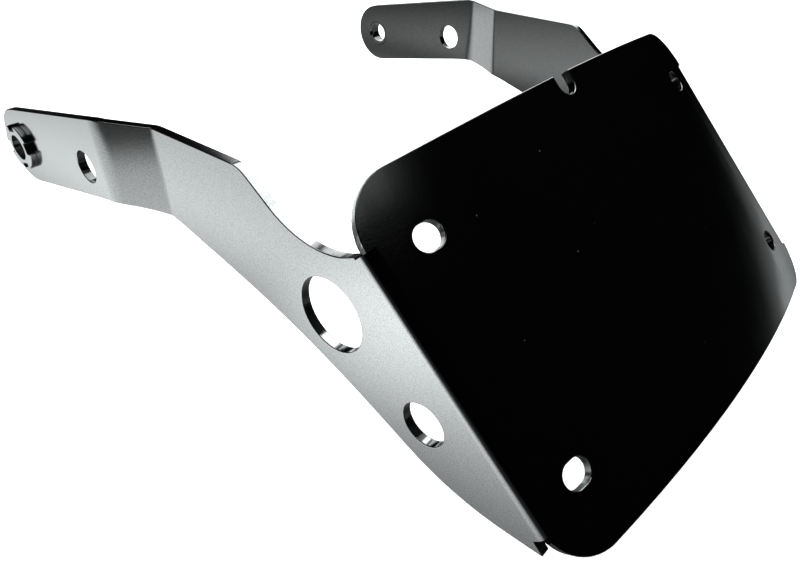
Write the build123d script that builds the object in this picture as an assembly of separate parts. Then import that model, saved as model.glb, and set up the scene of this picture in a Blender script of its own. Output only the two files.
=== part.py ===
from build123d import *
from math import asin, cos, radians, sin, sqrt, tan
import os

# License plate holder for a motorbike: one folded sheet with a bowed plate at the rear and an arm
# down each side, and a notched collar pressed into the front end of each arm.
# Millimetres. +X is across, +Y points forward along the arms, +Z is up, as on the bike.
# The origin is on the mid-plane, on the common axis of the two collars' bores.

# Sheet
sheet = 3.0

# Plate: it bows about an axis that runs down the plate, with the crown to the rear
plate_width = 178.0
plate_height = 110.4
plate_bow_radius = 384.0
plate_lean = 43.7
plate_centre_y = -201.0
plate_centre_z = -4.3
plate_corner_radius = 16.0

# Slots for the registration plate's bolts, in the usual motorcycle pattern
slot_pitch_across = 146.05
slot_pitch_down = 69.85
slot_below_top_edge = 20.3
slot_width = 7.5
slot_length = 9.2

# Round-ended notch in the middle of the plate's top edge
notch_width = 8.0
notch_depth = 7.0

# Fold between the plate and each arm, which leaves both corners of the plate free
fold_inner_radius = 1.5
fold_from_top_edge = 15.9
fold_length = 81.5
relief_step = 1.75

# Arms, seen from above: the front end is set outwards by two opposite bends
arm_spread = 194.4
front_bend_y = -61.8
rear_bend_y = -80.6
front_bend_radius = 16.0
rear_bend_radius = 5.0

# Arms, seen from the side: a sloping strip at the front, then a deep web back to the plate
strip_width = 27.0
strip_slope = 10.6
arm_top_z = 25.0
strip_top_radius = 12.0
shoulder_y = -120.3
shoulder_angle = 37.4
shoulder_radius = 9.0
valley_y = -146.8
valley_rise_angle = 30.0
valley_radius = 30.0
neck_y = -69.9
neck_radius = 77.0
belly_y = -139.7
belly_z = -20.4
belly_radius = 300.0
heel_y = -193.9
arm_bottom_z = -49.1
heel_radius = 70.0

# Holes in the arms
rear_bolt_hole_diameter = 10.8
rear_bolt_pitch = 48.0
rear_bolt_drop = 3.0
large_hole_diameter = 22.8
large_hole_y = -151.7
large_hole_z = -8.6
small_hole_diameter = 13.6
small_hole_y = -183.6
small_hole_z = -28.7

# Collars
collar_bore_diameter = 9.0
collar_flange_diameter = 16.6
collar_flange_height = 2.2
collar_spigot_diameter = 12.0
collar_fit_clearance = 0.03
collar_notch_count = 4
collar_notch_width = 4.0
collar_notch_depth = 2.3
collar_key_width = 2.0
collar_key_depth = 1.2
collar_edge_break = 0.3

# Values worked out from the sizes above
half_width = plate_width / 2
half_spread = arm_spread / 2
fold_outer_radius = fold_inner_radius + sheet
fold_bottom = fold_from_top_edge + fold_length
strip_forward = Vector(0, cos(radians(strip_slope)), -sin(radians(strip_slope)))
strip_up = Vector(0, sin(radians(strip_slope)), cos(radians(strip_slope)))
across_all = 2 * arm_spread

# The plate's own frame: x across, y up the plate, z out of its rear face at the crown
lean = radians(plate_lean)
plate_plane = Plane(
    origin=(0, plate_centre_y, plate_centre_z),
    x_dir=(1, 0, 0),
    z_dir=(0, -cos(lean), sin(lean)),
)
plate_top = plate_height / 2

# Centre of the fold's bend, in the plate's cross-section: x across, y out of the rear face
bend_x = half_width - fold_outer_radius
bend_out = sqrt((plate_bow_radius - fold_outer_radius) ** 2 - bend_x**2) - plate_bow_radius
bend_start = asin(bend_x / (plate_bow_radius - fold_outer_radius))
edge_start = asin(half_width / plate_bow_radius)


def on_bow(angle, depth, side=1):
    """Point of the bowed plate's cross-section, at an angle from the crown and a depth."""
    radius = plate_bow_radius - depth
    return (side * radius * sin(angle), radius * cos(angle) - plate_bow_radius)


def section_plane(from_top):
    """Cross-section plane of the plate at a distance below its top edge, facing down the plate."""
    origin = plate_plane.from_local_coords((0, plate_top - from_top, 0))
    return Plane(origin=origin, x_dir=(1, 0, 0), z_dir=-plate_plane.y_dir)


def plate_band(from_top, to_top, folded):
    """Stretch of the plate between two distances below its top edge, with or without the folds."""
    angle = bend_start if folded else edge_start
    with BuildSketch() as section:
        with BuildLine():
            outer = [on_bow(-angle, 0), on_bow(0, 0), on_bow(angle, 0)]
            inner = [on_bow(angle, sheet), on_bow(0, sheet), on_bow(-angle, sheet)]
            ThreePointArc(*outer)
            ThreePointArc(*inner)
            if folded:
                for side in (-1, 1):
                    add_fold(side, angle)
            else:
                Line(outer[2], inner[0])
                Line(inner[2], outer[0])
        make_face()
    return extrude(section_plane(from_top) * section.sketch, amount=to_top - from_top)


def add_fold(side, angle):
    """Lines of one fold's cross-section, from the plate round the bend to the arm."""
    outer_start = on_bow(angle, 0, side)
    inner_start = on_bow(angle, sheet, side)
    middle = (angle + radians(90)) / 2
    centre = Vector(side * bend_x, bend_out)

    def round_bend(radius, turn):
        return centre + Vector(side * radius * sin(turn), radius * cos(turn))

    outer_end = Vector(side * half_width, bend_out)
    inner_end = Vector(side * (half_width - sheet), bend_out)
    ThreePointArc(outer_start, round_bend(fold_outer_radius, middle), outer_end)
    ThreePointArc(inner_start, round_bend(fold_inner_radius, middle), inner_end)
    Line(outer_end, inner_end)


def bow_plane(side, from_edge, up):
    """Plane touching the bowed face, at a distance along the bow in from a side edge."""
    angle = edge_start - from_edge / plate_bow_radius
    across, out = on_bow(angle, 0, side)
    origin = plate_plane.from_local_coords((across, up, out))
    normal = plate_plane.z_dir * cos(angle) + plate_plane.x_dir * (side * sin(angle))
    tangent = plate_plane.x_dir * (side * cos(angle)) - plate_plane.z_dir * sin(angle)
    return Plane(origin=origin, x_dir=tangent, z_dir=normal)


def corner_cut(side, end):
    """Tool that rounds one corner of the plate, square to the bowed sheet there."""
    radius = plate_corner_radius
    place = bow_plane(side, radius, end * (plate_top - radius))
    turn = end * place.y_dir.dot(plate_plane.y_dir)
    block = Pos(radius, turn * radius) * Rectangle(2 * radius, 2 * radius)
    return extrude(place * (block - Circle(radius)), amount=2 * sheet, both=True)


def slot_cut(side, up):
    """Tool for one slot, longer across than down and square to the bowed sheet there."""
    bow_half = plate_bow_radius * edge_start
    place = bow_plane(side, bow_half - slot_pitch_across / 2, up)
    return extrude(place * SlotOverall(slot_length, slot_width), amount=2 * sheet, both=True)


def make_plate():
    """Bowed plate with its folds, rounded corners, top notch and four slots."""
    top_band = plate_band(0, fold_from_top_edge, False)
    bottom_band = plate_band(fold_bottom, plate_height, False)
    for side in (-1, 1):
        top_band -= corner_cut(side, 1)
        bottom_band -= corner_cut(side, -1)
    whole = top_band + plate_band(fold_from_top_edge, fold_bottom, True) + bottom_band
    slot_top = plate_top - slot_below_top_edge
    for side in (-1, 1):
        whole -= slot_cut(side, slot_top)
        whole -= slot_cut(side, slot_top - slot_pitch_down)
    notch_end = notch_width / 2
    notch = Pos(0, plate_top) * Rectangle(notch_width, 2 * (notch_depth - notch_end))
    notch += Pos(0, plate_top - notch_depth + notch_end) * Circle(notch_end)
    return whole - extrude(plate_plane * notch, amount=2 * sheet, both=True)


def strip_edge(side, along):
    """Point on the front strip's upper or lower edge, at a distance back from the collar's axis."""
    return strip_up * (side * strip_width / 2) - strip_forward * along


def strip_edge_at(side, y=None, z=None):
    """Point where the front strip's upper or lower edge reaches a given y or z."""
    start = strip_edge(side, 0)
    if z is not None:
        return strip_edge(side, (z - start.Z) / sin(radians(strip_slope)))
    return strip_edge(side, (start.Y - y) / cos(radians(strip_slope)))


def arm_side_face():
    """Side outline of an arm, carried past the plate so that the fold line can trim it."""
    past_plate = plate_centre_y - plate_height
    shoulder_run = shoulder_y - valley_y
    valley_z = arm_top_z - shoulder_run * tan(radians(shoulder_angle))
    rise_z = valley_z + (valley_y - past_plate) * tan(radians(valley_rise_angle))
    front = strip_forward * (strip_width / 2)
    upper = [
        strip_edge(1, 0),
        strip_edge_at(1, z=arm_top_z),
        Vector(0, shoulder_y, arm_top_z),
        Vector(0, valley_y, valley_z),
        Vector(0, past_plate, rise_z),
    ]
    lower = [
        strip_edge(-1, 0),
        strip_edge_at(-1, y=neck_y),
        Vector(0, belly_y, belly_z),
        Vector(0, heel_y, arm_bottom_z),
        Vector(0, past_plate, arm_bottom_z),
    ]
    top = FilletPolyline(*upper, radius=[strip_top_radius, shoulder_radius, valley_radius])
    bottom = FilletPolyline(*lower, radius=[neck_radius, belly_radius, heel_radius])
    end = ThreePointArc(upper[0], front, lower[0])
    back = Line(upper[-1], lower[-1])
    return make_face([*top.edges(), *bottom.edges(), end, back])


def arm_top_face():
    """Section of the left arm's sheet seen from above, with its two opposite bends."""
    front_y = strip_width
    rear_y = plate_centre_y - plate_height
    step = half_spread - half_width
    turn = asin(step / sqrt(step**2 + (front_bend_y - rear_bend_y) ** 2))
    shift = sheet * tan(turn / 2)
    outer = [
        (-half_spread, front_y),
        (-half_spread, front_bend_y),
        (-half_width, rear_bend_y),
        (-half_width, rear_y),
    ]
    inner = [
        (-half_spread + sheet, front_y),
        (-half_spread + sheet, front_bend_y + shift),
        (-half_width + sheet, rear_bend_y + shift),
        (-half_width + sheet, rear_y),
    ]
    outer_line = FilletPolyline(*outer, radius=[front_bend_radius + sheet, rear_bend_radius])
    inner_line = FilletPolyline(*inner, radius=[front_bend_radius, rear_bend_radius + sheet])
    ends = [Line(outer[0], inner[0]), Line(outer[-1], inner[-1])]
    return make_face([*outer_line.edges(), *inner_line.edges(), *ends])


def bore_through(y, z, diameter):
    """Round hole across both arms, along X."""
    return Pos(0, y, z) * Rot(0, 90, 0) * Cylinder(diameter / 2, across_all)


def make_left_arm():
    """Left arm up to the line where the fold's bend begins, with its holes."""
    depth = arm_spread
    arm = extrude(arm_top_face(), amount=depth, dir=(0, 0, 1))
    arm += extrude(arm_top_face(), amount=depth, dir=(0, 0, -1))
    arm &= extrude(arm_side_face(), amount=across_all, dir=(-1, 0, 0))
    beyond = Rectangle(across_all, across_all)
    arm -= extrude(plate_plane * Pos(0, 0, bend_out) * beyond, amount=across_all)
    free_edge = plate_plane * Pos(0, 0, bend_out - relief_step)
    above_fold = Pos(0, plate_top - fold_from_top_edge + across_all / 2) * beyond
    below_fold = Pos(0, plate_top - fold_bottom - across_all / 2) * beyond
    arm -= extrude(free_edge * above_fold, amount=across_all)
    arm -= extrude(free_edge * below_fold, amount=across_all)
    rear_hole = strip_up * -rear_bolt_drop - strip_forward * rear_bolt_pitch
    arm -= bore_through(rear_hole.Y, rear_hole.Z, rear_bolt_hole_diameter)
    arm -= bore_through(large_hole_y, large_hole_z, large_hole_diameter)
    arm -= bore_through(small_hole_y, small_hole_z, small_hole_diameter)
    arm -= bore_through(0, 0, collar_spigot_diameter)
    return arm


def make_bracket():
    """The folded sheet: plate, folds and both arms in one piece."""
    left_arm = make_left_arm()
    return make_plate() + left_arm + mirror(left_arm, about=Plane.YZ)


def make_left_collar():
    """Notched collar on the left arm's outer face, with its spigot through the sheet."""
    outer_face = -half_spread
    inner_face = -half_spread + sheet
    spigot_radius = collar_spigot_diameter / 2 - collar_fit_clearance
    flange_middle = outer_face - collar_flange_height / 2
    flange_disc = Cylinder(collar_flange_diameter / 2, collar_flange_height)
    flange = Pos(flange_middle, 0, 0) * Rot(0, 90, 0) * flange_disc
    flange = chamfer(flange.edges().sort_by(Axis.X)[0], collar_edge_break)
    spigot_middle = (outer_face + inner_face) / 2
    collar = flange + Pos(spigot_middle, 0, 0) * Rot(0, 90, 0) * Cylinder(spigot_radius, sheet)
    collar -= bore_through(0, 0, collar_bore_diameter)
    notch_floor = collar_flange_diameter / 2 - collar_notch_depth
    for turn in range(collar_notch_count):
        spin = Rot(strip_slope_turn(turn), 0, 0)
        notch = Box(collar_flange_height, collar_notch_depth * 2, collar_notch_width)
        collar -= spin * Pos(flange_middle, notch_floor + collar_notch_depth, 0) * notch
    key = Box(collar_key_depth, collar_spigot_diameter, collar_key_width)
    key_x = inner_face - collar_key_depth / 2
    collar -= Rot(strip_slope_turn(0), 0, 0) * Pos(key_x, collar_spigot_diameter / 2, 0) * key
    return collar


def strip_slope_turn(turn):
    """Turn of a collar's notch about X, in line with the arm's front strip."""
    return turn * 360 / collar_notch_count - strip_slope


os.makedirs("parts", exist_ok=True)
left_collar = make_left_collar()
export_step(make_bracket(), "parts/bracket.step")
export_step(left_collar, "parts/left_collar.step")
export_step(mirror(left_collar, about=Plane.YZ), "parts/right_collar.step")
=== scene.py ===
# %% [markdown]
# # License plate holder for a motorbike
# The real object is one sheet of steel, cut, folded and powder coated in gloss black, with a
# small collar pressed into the front end of each arm. The CAD model gives every shape and size.
# This lesson softens the cut edges, mixes the coat, and lights it like a product photograph.

# %% Load the CAD model
from math import cos, pi, radians, sin
import bpy
from mathutils import Matrix, Vector


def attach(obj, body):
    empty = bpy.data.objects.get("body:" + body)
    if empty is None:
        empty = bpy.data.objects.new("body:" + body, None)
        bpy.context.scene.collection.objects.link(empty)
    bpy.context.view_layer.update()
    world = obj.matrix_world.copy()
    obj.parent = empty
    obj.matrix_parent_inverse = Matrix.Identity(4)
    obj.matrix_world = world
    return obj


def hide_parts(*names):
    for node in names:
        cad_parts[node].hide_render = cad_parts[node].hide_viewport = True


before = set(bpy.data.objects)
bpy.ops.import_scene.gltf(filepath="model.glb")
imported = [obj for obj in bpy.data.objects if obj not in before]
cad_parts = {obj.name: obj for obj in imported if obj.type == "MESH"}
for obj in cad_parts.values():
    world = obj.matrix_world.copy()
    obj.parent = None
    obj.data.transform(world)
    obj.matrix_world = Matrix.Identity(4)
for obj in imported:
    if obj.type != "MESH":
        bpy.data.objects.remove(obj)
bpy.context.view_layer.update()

print("CAD nodes:", sorted(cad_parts))

# %% [markdown]
# ## The camera
# The photograph was taken from close by, above and behind the plate's left side, so near things
# look much larger than far ones. A long lens further off would flatten that. The camera's place,
# turn and lens were solved from the outlines of the arms, holes and plate.

# %% Place the camera
def aim_camera(place, right, up, ahead, lens, shift):
    data = bpy.data.cameras.new("photo_camera")
    camera = bpy.data.objects.new("photo_camera", data)
    bpy.context.scene.collection.objects.link(camera)
    turn = Matrix((right, up, -Vector(ahead))).transposed()
    camera.matrix_world = Matrix.Translation(place) @ turn.to_4x4()
    data.sensor_width = 36
    data.lens = lens
    data.shift_x, data.shift_y = shift
    data.clip_start, data.clip_end = 0.01, 50
    bpy.context.scene.camera = camera
    return camera


camera = aim_camera(
    place=(-0.18474, -0.26279, 0.10278),
    right=(0.6491, -0.7607, -0.0076),
    up=(0.4517, 0.3773, 0.8085),
    ahead=(0.6121, 0.5282, -0.5885),
    lens=30.98,
    shift=(-0.0147, 0.01684),
)
print("camera at", [round(v, 3) for v in camera.location], "lens", camera.data.lens, "mm")

# %% [markdown]
# ## Helpers for pieces
# An operator works on whatever is selected, and loading the model leaves its nodes selected, so
# a piece is always picked alone first.

# %% Pick one piece, and apply its modifiers
def pick_alone(piece):
    bpy.ops.object.select_all(action="DESELECT")
    piece.select_set(True)
    bpy.context.view_layer.objects.active = piece


def apply_modifiers(piece):
    pick_alone(piece)
    for modifier in list(piece.modifiers):
        bpy.ops.object.modifier_apply(modifier=modifier.name)


# %% [markdown]
# ## Softened cut edges
# A laser leaves sharp edges on the sheet. Blasting and a coat of powder round them to a few
# tenths of a millimetre, and that small round catches the light all along the outline. A bump
# map can fake it, but it fails on the outline itself, so a copy of each CAD solid is welded
# into one skin, its flat faces are joined up, and every sharp edge gets a small real bevel.

# %% Weld a copy of a CAD node
same_point = 0.000002
same_plane = radians(0.1)


def welded_copy(node_name, piece_name):
    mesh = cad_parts[node_name].data.copy()
    mesh.name = piece_name
    mesh.materials.clear()
    piece = bpy.data.objects.new(piece_name, mesh)
    bpy.context.scene.collection.objects.link(piece)
    pick_alone(piece)
    if mesh.has_custom_normals:
        bpy.ops.mesh.customdata_custom_splitnormals_clear()
    bpy.ops.object.mode_set(mode="EDIT")
    bpy.ops.mesh.select_all(action="SELECT")
    bpy.ops.mesh.remove_doubles(threshold=same_point)
    bpy.ops.mesh.dissolve_limited(angle_limit=same_plane)
    bpy.ops.object.mode_set(mode="OBJECT")
    return piece


# %% [markdown]
# ## Where the fold ends
# At both ends of each fold the sheet's outline meets the bend's relief in a few very short
# edges, too short for the round. So the round fades out there, and seams are cut first to give
# the fade short edges to work with. The brake's relief stays crisp on the real sheet as well.

# %% Find a place on the leaning plate
lean = radians(43.7)
plate_middle = Vector((0, -0.2010, -0.0043))
plate_up = Vector((0, sin(lean), cos(lean)))
plate_out = Vector((0, -cos(lean), sin(lean)))
fold_top, fold_bottom = 0.0393, -0.0422
arm_seam = -0.0165
plate_back = -0.0141
fold_from_middle = 0.080
seam_steps = (0.0016, 0.0028, 0.0042)


def place_on_plate(point):
    away = point - plate_middle
    return away.dot(plate_up), away.dot(plate_out)


print("plate leans", round(lean, 4), "radians; seams step out by", seam_steps, "m")

# %% Cut seams around the fold's ends
def cut_seam(piece, at, across, plate_only):
    pick_alone(piece)
    bpy.ops.object.mode_set(mode="EDIT")
    bpy.ops.mesh.select_all(action="DESELECT")
    bpy.ops.object.mode_set(mode="OBJECT")
    for face in piece.data.polygons:
        out = place_on_plate(face.center)[1]
        face.select = out > plate_back or not plate_only
    bpy.ops.object.mode_set(mode="EDIT")
    bpy.ops.mesh.bisect(plane_co=plate_middle + across * at, plane_no=across)
    bpy.ops.object.mode_set(mode="OBJECT")


def cut_all_seams(piece):
    for step in seam_steps:
        cut_seam(piece, fold_top + step, plate_up, True)
        cut_seam(piece, fold_bottom - step, plate_up, True)
        cut_seam(piece, arm_seam - step, plate_out, False)


# %% Cut a collar's ring faces into sectors, so that none closes over the bore
def cut_into_sectors(piece):
    pick_alone(piece)
    for across in ((0, 1, 1), (0, 1, -1)):
        bpy.ops.object.mode_set(mode="EDIT")
        bpy.ops.mesh.select_all(action="SELECT")
        bpy.ops.mesh.bisect(plane_co=(0, 0, 0), plane_no=across)
        bpy.ops.object.mode_set(mode="OBJECT")


# %% Choose the sharp edges, with a round that grows from nothing past the fold's ends
def share_of_round(point):
    if abs(point.x) < fold_from_middle:
        return 1.0
    up, out = place_on_plate(point)
    beyond = max(arm_seam - out, up - fold_top, fold_bottom - up)
    share = (beyond - seam_steps[0]) / (seam_steps[-1] - seam_steps[0])
    return min(max(share, 0.0), 1.0)


def choose_sharp_edges(piece, sharper_than):
    mesh = piece.data
    facing = {}
    for face in mesh.polygons:
        for key in face.edge_keys:
            facing.setdefault(key, []).append(face.normal)
    weight = mesh.attributes.new("bevel_weight_edge", "FLOAT", "EDGE")
    chosen = 0
    for edge in mesh.edges:
        normals = facing.get(edge.key, [])
        if len(normals) == 2 and normals[0].angle(normals[1], 0) > sharper_than:
            start, end = (mesh.vertices[v].co for v in edge.vertices)
            weight.data[edge.index].value = share_of_round((start + end) / 2)
            chosen += 1
    print(piece.name, "sharp edges chosen:", chosen, "of", len(mesh.edges))


# %% [markdown]
# ## The bevel and its rim mark
# The bevel's own faces get material slot 1 for a moment. That tells which points lie inside the
# round, and an attribute called rim keeps them, for the coat to thin out there.

# %% Bevel the chosen edges and mark the rim
bevel_slot = 1


def add_bevel(piece, width):
    bevel = piece.modifiers.new("cut_edge_round", "BEVEL")
    bevel.width = width
    bevel.segments = 3
    bevel.limit_method = "WEIGHT"
    bevel.use_clamp_overlap = False
    bevel.material = bevel_slot
    piece.data.materials.append(None)
    piece.data.materials.append(None)
    apply_modifiers(piece)


def mark_rim(mesh):
    outside = set()
    for face in mesh.polygons:
        if face.material_index != bevel_slot:
            outside.update(face.vertices)
    rim = mesh.attributes.new("rim", "FLOAT", "POINT")
    inside = [0.0 if v in outside else 1.0 for v in range(len(mesh.vertices))]
    rim.data.foreach_set("value", inside)
    mesh.polygons.foreach_set("material_index", [0] * len(mesh.polygons))
    mesh.materials.clear()
    print(mesh.name, "points inside the round:", int(sum(inside)))


# %% Shade the round smoothly and keep flat faces flat
def smooth_shading(piece):
    pick_alone(piece)
    bpy.ops.object.shade_smooth_by_angle(angle=radians(32))
    weighted = piece.modifiers.new("flat_faces_stay_flat", "WEIGHTED_NORMAL")
    weighted.keep_sharp = True
    weighted.weight = 80
    apply_modifiers(piece)


# %% Make the three softened pieces
sheet_round, collar_round = 0.0003, 0.0002
sharp_edge = radians(35)


def softened(node_name, piece_name, width):
    piece = welded_copy(node_name, piece_name)
    before = len(piece.data.polygons)
    if node_name == "bracket":
        cut_all_seams(piece)
    else:
        cut_into_sectors(piece)
    choose_sharp_edges(piece, sharp_edge)
    add_bevel(piece, width)
    mark_rim(piece.data)
    smooth_shading(piece)
    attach(piece, "root")
    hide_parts(node_name)
    print(piece_name, "faces before and after the bevel:", before, len(piece.data.polygons))
    return piece


sheet = softened("bracket", "folded_sheet", sheet_round)
left_collar = softened("left_collar", "pressed_collar_left", collar_round)
right_collar = softened("right_collar", "pressed_collar_right", collar_round)

# %% [markdown]
# ## Powder coat: shared effects
# Powder melts into a smooth skin with a faint ripple, called orange peel, a little under a
# millimetre across, and a fine speckle where the skin is less glossy. Specks of dust lie on it,
# and it draws thin over sharp edges. Each effect is one node group that both coats use with
# their own values, so a change is made once. Noise scales count waves across a metre.

# %% Start a node group
def new_group(name, inputs, outputs):
    tree = bpy.data.node_groups.new(name, "ShaderNodeTree")
    for label in inputs:
        tree.interface.new_socket(label, in_out="INPUT", socket_type="NodeSocketFloat")
    for label in outputs:
        tree.interface.new_socket(label, in_out="OUTPUT", socket_type="NodeSocketFloat")
    enter = tree.nodes.new("NodeGroupInput")
    leave = tree.nodes.new("NodeGroupOutput")
    return tree, enter, leave


def calculate(tree, operation, first, second, clamp=False):
    node = tree.nodes.new("ShaderNodeMath")
    node.operation = operation
    node.use_clamp = clamp
    for socket, value in zip(node.inputs, (first, second)):
        if isinstance(value, (int, float)):
            socket.default_value = value
        else:
            tree.links.new(value, socket)
    return node.outputs[0]


def noise(tree, scale, detail):
    place = tree.nodes.new("ShaderNodeTexCoord")
    node = tree.nodes.new("ShaderNodeTexNoise")
    tree.links.new(place.outputs["Object"], node.inputs["Vector"])
    node.inputs["Scale"].default_value = scale
    node.inputs["Detail"].default_value = detail
    return node.outputs[0]


# %% Orange peel, roughness and gloss
ripple_scale, grain_scale, patch_scale, speckle_scale = 1500, 5200, 45, 3200
grain_share = 0.8
most_gloss, speckle_loss = 1.93, 2.1


def make_peel_group():
    outputs = ("Height", "Roughness", "Gloss")
    tree, enter, leave = new_group("orange_peel", ("Smooth", "Rough"), outputs)
    ripple = noise(tree, ripple_scale, 2)
    grain = calculate(tree, "MULTIPLY", noise(tree, grain_scale, 1), grain_share)
    height = calculate(tree, "ADD", ripple, grain)
    reach = calculate(tree, "SUBTRACT", enter.outputs["Rough"], enter.outputs["Smooth"])
    spread = calculate(tree, "MULTIPLY", noise(tree, patch_scale, 4), reach)
    roughness = calculate(tree, "ADD", spread, enter.outputs["Smooth"])
    loss = calculate(tree, "MULTIPLY", noise(tree, speckle_scale, 1), speckle_loss)
    gloss = calculate(tree, "SUBTRACT", most_gloss, loss, clamp=True)
    tree.links.new(height, leave.inputs["Height"])
    tree.links.new(roughness, leave.inputs["Roughness"])
    tree.links.new(gloss, leave.inputs["Gloss"])
    return tree


peel_group = make_peel_group()
print("group", peel_group.name, "nodes:", len(peel_group.nodes))

# %% Dust specks
dust_scale = 260


def make_dust_group():
    tree, enter, leave = new_group("dust_specks", ("Amount", "Size"), ("Mask",))
    place = tree.nodes.new("ShaderNodeTexCoord")
    cells = tree.nodes.new("ShaderNodeTexVoronoi")
    cells.inputs["Scale"].default_value = dust_scale
    tree.links.new(place.outputs["Object"], cells.inputs["Vector"])
    near = calculate(tree, "LESS_THAN", cells.outputs["Distance"], enter.outputs["Size"])
    tint = tree.nodes.new("ShaderNodeSeparateColor")
    tree.links.new(cells.outputs["Color"], tint.inputs[0])
    chosen = calculate(tree, "LESS_THAN", tint.outputs[0], enter.outputs["Amount"])
    mask = calculate(tree, "MULTIPLY", near, chosen)
    tree.links.new(calculate(tree, "MULTIPLY", mask, tint.outputs[1]), leave.inputs["Mask"])
    return tree


dust_group = make_dust_group()
print("group", dust_group.name, "nodes:", len(dust_group.nodes))

# %% Thin coat on the rims
rim_patch_scale = 160


def make_rim_group():
    tree, enter, leave = new_group("thin_rim", ("Amount",), ("Mask",))
    rim = tree.nodes.new("ShaderNodeAttribute")
    rim.attribute_name = "rim"
    broken = calculate(tree, "MULTIPLY", rim.outputs["Fac"], noise(tree, rim_patch_scale, 3))
    mask = calculate(tree, "MULTIPLY", broken, enter.outputs["Amount"], clamp=True)
    tree.links.new(mask, leave.inputs["Mask"])
    return tree


rim_group = make_rim_group()
print("group", rim_group.name, "nodes:", len(rim_group.nodes))

# %% [markdown]
# ## The coat itself
# Gloss black powder is a black body under a clear, hard surface, so the shader is a very dark
# base with a strong clear coat on top. Metal with a dark colour would mirror in grey and lose
# the deep black, so Metallic stays at zero. What looks silver in the photograph is the bright
# table, mirrored by the arms, and the white edges mirror the boxes overhead.

# %% Place a group in a shader, and mix two colours
def place_group(tree, group, **values):
    node = tree.nodes.new("ShaderNodeGroup")
    node.node_tree = group
    for label, value in values.items():
        node.inputs[label].default_value = value
    return node


# A Mix node has sockets for every data type, all with the same names, so colours go by number.
colour_a, colour_b, colour_result = 6, 7, 2


def mix_colour(tree, mask, first, second):
    node = tree.nodes.new("ShaderNodeMix")
    node.data_type = "RGBA"
    tree.links.new(mask, node.inputs["Factor"])
    for number, value in ((colour_a, first), (colour_b, second)):
        if isinstance(value, tuple):
            node.inputs[number].default_value = (*value, 1)
        else:
            tree.links.new(value, node.inputs[number])
    return node.outputs[colour_result]


# %% Mix a coat
deep_black = (0.002, 0.002, 0.0022)
thin_black = (0.02, 0.02, 0.021)
dust_grey = (0.35, 0.36, 0.38)
speck_size = 0.05
rim_wear = 0.6
peel_depth = 0.00004


def coat_colour(tree, dust):
    specks = place_group(tree, dust_group, Amount=dust, Size=speck_size)
    thin = place_group(tree, rim_group, Amount=rim_wear)
    coat = mix_colour(tree, thin.outputs["Mask"], deep_black, thin_black)
    return mix_colour(tree, specks.outputs["Mask"], coat, dust_grey)


def make_coat(name, smooth, rough, ripple, dust):
    material = bpy.data.materials.new(name)
    material.use_nodes = True
    tree = material.node_tree
    shader = tree.nodes["Principled BSDF"]
    peel = place_group(tree, peel_group, Smooth=smooth, Rough=rough)
    bump = tree.nodes.new("ShaderNodeBump")
    bump.inputs["Strength"].default_value = ripple
    bump.inputs["Distance"].default_value = peel_depth
    tree.links.new(peel.outputs["Height"], bump.inputs["Height"])
    tree.links.new(coat_colour(tree, dust), shader.inputs["Base Color"])
    tree.links.new(peel.outputs["Roughness"], shader.inputs["Roughness"])
    tree.links.new(bump.outputs["Normal"], shader.inputs["Normal"])
    tree.links.new(peel.outputs["Gloss"], shader.inputs["Coat Weight"])
    shader.inputs["IOR"].default_value = 1.5
    shader.inputs["Specular IOR Level"].default_value = 1.0
    shader.inputs["Coat Roughness"].default_value = 0.06
    shader.inputs["Coat IOR"].default_value = 1.9
    return material


# %% Coat the pieces and the CAD nodes under them
sheet_coat = make_coat("gloss_black_coat", smooth=0.07, rough=0.14, ripple=0.45, dust=0.10)
collar_coat = make_coat(
    "gloss_black_coat_on_collar", smooth=0.14, rough=0.22, ripple=0.20, dust=0.03
)
sheet.data.materials.append(sheet_coat)
left_collar.data.materials.append(collar_coat)
right_collar.data.materials.append(collar_coat)
for node_name in ("bracket", "left_collar", "right_collar"):
    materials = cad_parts[node_name].data.materials
    materials.clear()
    materials.append(sheet_coat if node_name == "bracket" else collar_coat)
print("coats:", sheet_coat.name, collar_coat.name)

# %% [markdown]
# ## The set
# The photograph has a pure white ground and no visible floor edge. A pale table lies below the
# part, which a stand would hold by its front bolts. Seen by the camera, the table is pale and
# glows a little, so it turns white in the picture. To every other ray it is dark grey, so the
# part mirrors the lamps that are placed for it and little else.

# %% Lay the table
table_z = -0.10
camera_glow = 0.80
table_pale, table_cloud = (0.80, 0.80, 0.80), (0.83, 0.83, 0.83)
table_in_mirrors = (0.14, 0.14, 0.14)


def make_table_paint():
    material = bpy.data.materials.new("pale_table")
    material.use_nodes = True
    tree = material.node_tree
    shader = tree.nodes["Principled BSDF"]
    shader.inputs["Roughness"].default_value = 0.9
    shader.inputs["Specular IOR Level"].default_value = 0.1
    pale = mix_colour(tree, noise(tree, 6, 2), table_pale, table_cloud)
    seen = tree.nodes.new("ShaderNodeLightPath").outputs["Is Camera Ray"]
    tree.links.new(mix_colour(tree, seen, table_in_mirrors, pale), shader.inputs["Base Color"])
    shader.inputs["Emission Color"].default_value = (1, 1, 1, 1)
    glow = calculate(tree, "MULTIPLY", seen, camera_glow)
    tree.links.new(glow, shader.inputs["Emission Strength"])
    return material


bpy.ops.object.select_all(action="DESELECT")
bpy.ops.mesh.primitive_plane_add(size=8, location=(0, 0, table_z))
table = bpy.context.object
table.name = "table"
table.data.materials.append(make_table_paint())
print("table at z", table_z, "m")

# %% [markdown]
# ## The light
# A gloss surface shows what it mirrors, so each lamp lies where a face of the part looks from
# the camera. A large soft box hangs overhead with a brighter core, which the upper edges of the
# arms mirror, and a side box carries on where the overhead box ends. A faint box far behind
# gives the plate's upper left corner its sheen. Four panels on the table stand for the
# brightness of the photograph's table: both arms mirror the long and the near one, the right
# arm's crank the front one, and the plate's right side the right one. The room behind the
# camera stays dark, and the rest of the plate mirrors that, so it reads as deep black.

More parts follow.
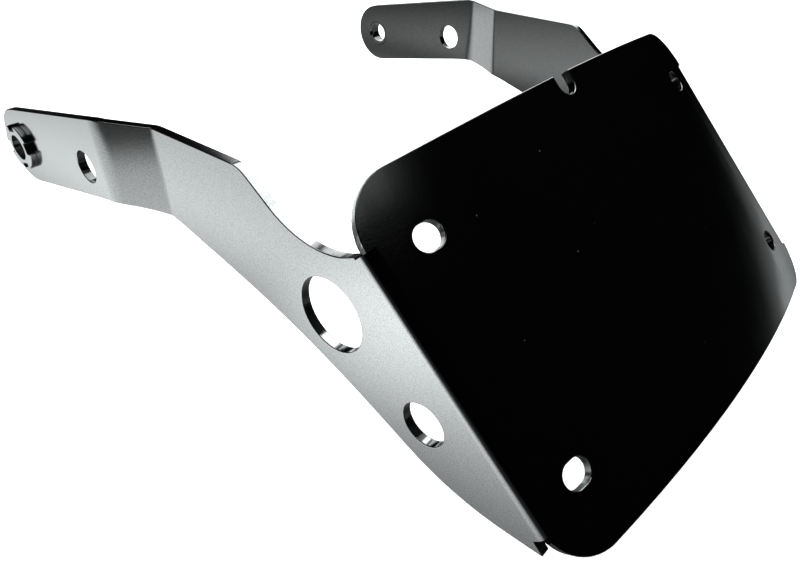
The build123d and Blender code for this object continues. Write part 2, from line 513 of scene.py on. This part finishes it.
# %% A soft box whose light fades towards its own edges
DOWN, UP = (0, 0, -1), (0, 0, 1)
lamp_tint = (0.95, 1.0, 1.0)


def fade(tree, across, margin):
    back = calculate(tree, "SUBTRACT", 1.0, across)
    edge = calculate(tree, "MINIMUM", across, back)
    node = tree.nodes.new("ShaderNodeMapRange")
    node.interpolation_type = "SMOOTHSTEP"
    node.inputs["From Max"].default_value = margin
    tree.links.new(edge, node.inputs["Value"])
    return node.outputs["Result"]


def shape_light(tree, radiance, margin):
    where = tree.nodes.new("ShaderNodeNewGeometry")
    axes = tree.nodes.new("ShaderNodeSeparateXYZ")
    tree.links.new(where.outputs["Parametric"], axes.inputs[0])
    fade_x, fade_y = (fade(tree, axes.outputs[i], margin) for i in (0, 1))
    both = calculate(tree, "MULTIPLY", fade_x, fade_y)
    strength = calculate(tree, "MULTIPLY", both, radiance)
    tree.links.new(strength, tree.nodes["Emission"].inputs["Strength"])


def soft_box(name, place, size, radiance, margin, facing=DOWN, spread=180):
    data = bpy.data.lights.new(name, "AREA")
    data.shape = "RECTANGLE"
    data.size, data.size_y = size
    data.energy = pi * data.size * data.size_y
    data.spread = radians(spread)
    data.color = lamp_tint
    data.use_nodes = True
    shape_light(data.node_tree, radiance, margin)
    lamp = bpy.data.objects.new(name, data)
    bpy.context.scene.collection.objects.link(lamp)
    lamp.location = place
    lamp.rotation_euler = Vector(facing).to_track_quat("-Z", "Y").to_euler()
    lamp.visible_camera = False
    print(name, "radiance", radiance)


# %% Hang the boxes overhead and at the side
box_z, core_z = 0.75, 0.74
soft_box("overhead_box", (0.275, 0.14, box_z), (1.35, 1.04), 2.5, 0.06)
soft_box("overhead_core", (0.42, 0.015, core_z), (0.34, 0.95), 4.5, 0.06)
soft_box("far_overhead_box", (0.12, -0.70, box_z), (0.50, 0.30), 0.5, 0.45)
to_part = (-0.918, -0.488, -0.33)
soft_box("side_box", (0.918, 0.488, 0.38), (1.16, 0.72), 2.6, 0.12, facing=to_part)

# %% Lay the panels on the table
panel_z, near_panel_z = table_z + 0.003, table_z + 0.004
panels = (
    ("table_panel_long", (-0.255, 0.145, panel_z), (0.27, 0.85), 2.75, 0.27, UP, 154),
    ("table_panel_near", (-0.185, -0.155, near_panel_z), (0.20, 0.31), 1.7, 0.38, UP),
    ("table_panel_front", (0.05, 0.27, panel_z), (0.36, 0.52), 1.4, 0.25, UP),
    ("table_panel_right", (0.48, -0.42, panel_z), (0.55, 0.42), 0.50, 0.45, UP),
)
for panel in panels:
    soft_box(*panel)

# %% White ground for the camera, dark room for reflections
def make_world():
    world = bpy.data.worlds.new("white_ground")
    bpy.context.scene.world = world
    world.use_nodes = True
    tree = world.node_tree
    seen = tree.nodes.new("ShaderNodeLightPath").outputs["Is Camera Ray"]
    shade = mix_colour(tree, seen, (0.0, 0.0, 0.0), (1.0, 1.0, 1.0))
    tree.links.new(shade, tree.nodes["Background"].inputs["Color"])
    print("world:", world.name)


make_world()
bpy.context.scene.view_settings.view_transform = "Standard"
